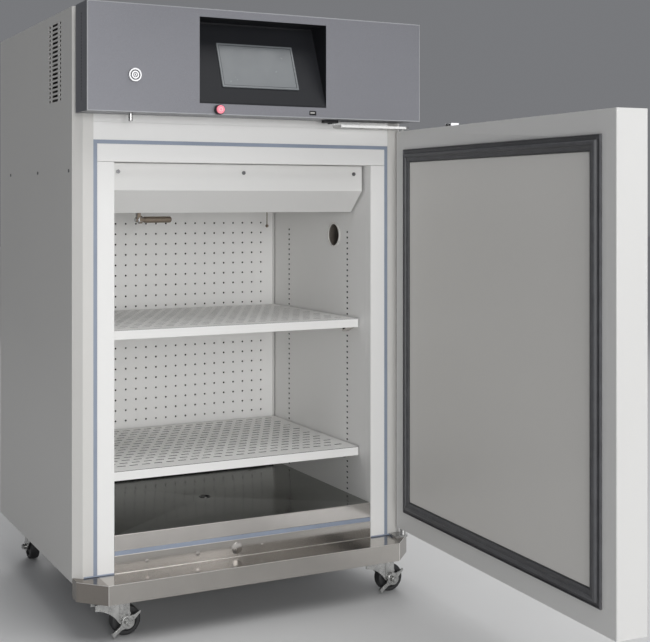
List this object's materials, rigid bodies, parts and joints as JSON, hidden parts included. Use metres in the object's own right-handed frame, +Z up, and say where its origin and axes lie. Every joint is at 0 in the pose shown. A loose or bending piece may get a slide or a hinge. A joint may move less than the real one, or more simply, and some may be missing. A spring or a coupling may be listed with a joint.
{
  "type": "laboratory incubator",
  "caption": "Upright refrigerated incubator on casters with an open side-hinged door, slide-out slotted shelves, perforated back wall, control box with sloping display and key lock.",
  "frame": {"origin": "on the floor under the front face of the cabinet's door frame, midway between its sides", "axes": "+X to the right seen from the front (the hinge side), +Y from the front to the back, +Z up; the door stands open at 86.6 degrees and reaches towards -Y"},
  "size_m": [0.7932, 1.3693, 1.238],
  "materials": {
    "side_paint": "satin powder coat, warm off-white",
    "white_paint": "satin powder coat, off-white",
    "box_paint": "fine metallic powder coat, mid grey",
    "door_grey": "satin, warm light grey",
    "stainless": "bright stainless sheet",
    "zinc": "bright zinc plated",
    "chrome": "polished",
    "frame_steel": "dark primer",
    "strip": "blue-grey extruded plastic",
    "foam": "rigid foam, cream",
    "gasket": "soft dark grey",
    "black": "fine texture",
    "screen": "dead front, grey",
    "port_white": "smooth white",
    "red": "translucent red",
    "wheel": "hard black tread",
    "probe": "sintered cap",
    "aluminium": "bare",
    "board": "green laminate"
  },
  "bodies": {
    "cabinet": {"air_diffuser_panel": "white_paint", "air_hood": "white_paint", "base_frame": "frame_steel", "cabinet_screws": "zinc", "cable_port": "port_white", "caster_plates": "zinc", "chamber_floor": "stainless", "chamber_liner": "white_paint", "compressor": "black", "condenser": "aluminium", "control_box": "box_paint", "display_recess": "black", "door_switch": "black", "drain_fitting": "stainless", "electronics": "board", "evaporator": "aluminium", "fan_motors": "frame_steel", "front_frame": "white_paint", "front_ledge": "stainless", "heater_element": "stainless", "insulation": "foam", "left_side_panel": "side_paint", "lock_body": "chrome", "lower_hinge_bracket": "zinc", "machine_deck": "zinc", "power_button_ring": "black", "power_inlet": "black", "rear_cover": "side_paint", "right_side_panel": "side_paint", "shelf_clips": "stainless", "temperature_probes": "probe", "thermal_break": "strip", "top_cover": "side_paint", "touch_screen": "screen", "upper_hinge_strap": "zinc", "usb_port": "black"},
    "door": {"door_bushes": "black", "door_gasket": "gasket", "door_handle_cup": "black", "door_inner_panel": "door_grey", "door_insulation": "foam", "door_magnet": "chrome", "door_shell": "white_paint"},
    "lock_barrel": {"lock_barrel": "chrome"},
    "lock_bolt": {"lock_bolt": "zinc"},
    "power_button": {"power_button": "red"},
    "shelf_upper": {"shelf_upper": "white_paint"},
    "shelf_lower": {"shelf_lower": "white_paint"},
    "circulation_fan": {"circulation_fan": "aluminium"},
    "condenser_fan": {"condenser_fan": "black"},
    "caster_front_left": {"caster_fork_front_left": "zinc"},
    "wheel_front_left": {"caster_wheel_front_left": "wheel"},
    "brake_front_left": {"brake_lever_front_left": "zinc"},
    "caster_front_right": {"caster_fork_front_right": "zinc"},
    "wheel_front_right": {"caster_wheel_front_right": "wheel"},
    "brake_front_right": {"brake_lever_front_right": "zinc"},
    "caster_rear_left": {"caster_fork_rear_left": "zinc"},
    "wheel_rear_left": {"caster_wheel_rear_left": "wheel"},
    "caster_rear_right": {"caster_fork_rear_right": "zinc"},
    "wheel_rear_right": {"caster_wheel_rear_right": "wheel"}
  },
  "joints": [
    {"name": "door_hinge", "type": "hinge", "parent": "cabinet", "child": "door", "pos_m": [0.3625, -0.02, 0.575], "axis": [0, 0, 1], "range_deg": [-86.6, 33.4]},
    {"name": "lock_turn", "type": "hinge", "parent": "cabinet", "child": "lock_barrel", "pos_m": [-0.277, -0.066, 1.1], "axis": [0, 1, 0], "range_deg": [0, 90]},
    {"name": "bolt_drop", "type": "slide", "parent": "cabinet", "child": "lock_bolt", "axis": [0, 0, -1], "range_m": [0, 0.01272]},
    {"name": "power_press", "type": "slide", "parent": "cabinet", "child": "power_button", "axis": [0, 1, 0], "range_m": [0, 0.003], "stiffness_N_per_m": 600},
    {"name": "shelf_upper_slide", "type": "slide", "parent": "cabinet", "child": "shelf_upper", "axis": [0, -1, 0], "range_m": [0, 0.44]},
    {"name": "shelf_lower_slide", "type": "slide", "parent": "cabinet", "child": "shelf_lower", "axis": [0, -1, 0], "range_m": [0, 0.44]},
    {"name": "circulation_fan_spin", "type": "hinge", "parent": "cabinet", "child": "circulation_fan", "pos_m": [0, 0.25, 0.866], "axis": [0, 0, 1], "continuous": true},
    {"name": "condenser_fan_spin", "type": "hinge", "parent": "cabinet", "child": "condenser_fan", "pos_m": [0.15, 0.31, 1.12], "axis": [0, 1, 0], "continuous": true},
    {"name": "caster_front_left_swivel", "type": "hinge", "parent": "cabinet", "child": "caster_front_left", "pos_m": [-0.305, 0.003, 0.072], "axis": [0, 0, 1], "continuous": true},
    {"name": "wheel_front_left_roll", "type": "hinge", "parent": "caster_front_left", "child": "wheel_front_left", "pos_m": [-0.271, 0.003, 0.03], "axis": [0, 1, 0], "continuous": true},
    {"name": "brake_front_left_press", "type": "hinge", "parent": "caster_front_left", "child": "brake_front_left", "pos_m": [-0.271, 0.003, 0.03], "axis": [0, 1, 0], "range_deg": [0, 50]},
    {"name": "caster_front_right_swivel", "type": "hinge", "parent": "cabinet", "child": "caster_front_right", "pos_m": [0.305, 0.003, 0.072], "axis": [0, 0, 1], "continuous": true},
    {"name": "wheel_front_right_roll", "type": "hinge", "parent": "caster_front_right", "child": "wheel_front_right", "pos_m": [0.339, 0.003, 0.03], "axis": [0, 1, 0], "continuous": true},
    {"name": "brake_front_right_press", "type": "hinge", "parent": "caster_front_right", "child": "brake_front_right", "pos_m": [0.339, 0.003, 0.03], "axis": [0, 1, 0], "range_deg": [0, 50]},
    {"name": "caster_rear_left_swivel", "type": "hinge", "parent": "cabinet", "child": "caster_rear_left", "pos_m": [-0.305, 0.545, 0.072], "axis": [0, 0, 1], "continuous": true},
    {"name": "wheel_rear_left_roll", "type": "hinge", "parent": "caster_rear_left", "child": "wheel_rear_left", "pos_m": [-0.305, 0.579, 0.03], "axis": [1, 0, 0], "continuous": true},
    {"name": "caster_rear_right_swivel", "type": "hinge", "parent": "cabinet", "child": "caster_rear_right", "pos_m": [0.305, 0.545, 0.072], "axis": [0, 0, 1], "continuous": true},
    {"name": "wheel_rear_right_roll", "type": "hinge", "parent": "caster_rear_right", "child": "wheel_rear_right", "pos_m": [0.305, 0.579, 0.03], "axis": [1, 0, 0], "continuous": true}
  ],
  "couplings": [
    {"joint": "lock_turn", "follows": "bolt_drop", "rad_per_m": 123.48}
  ]
}
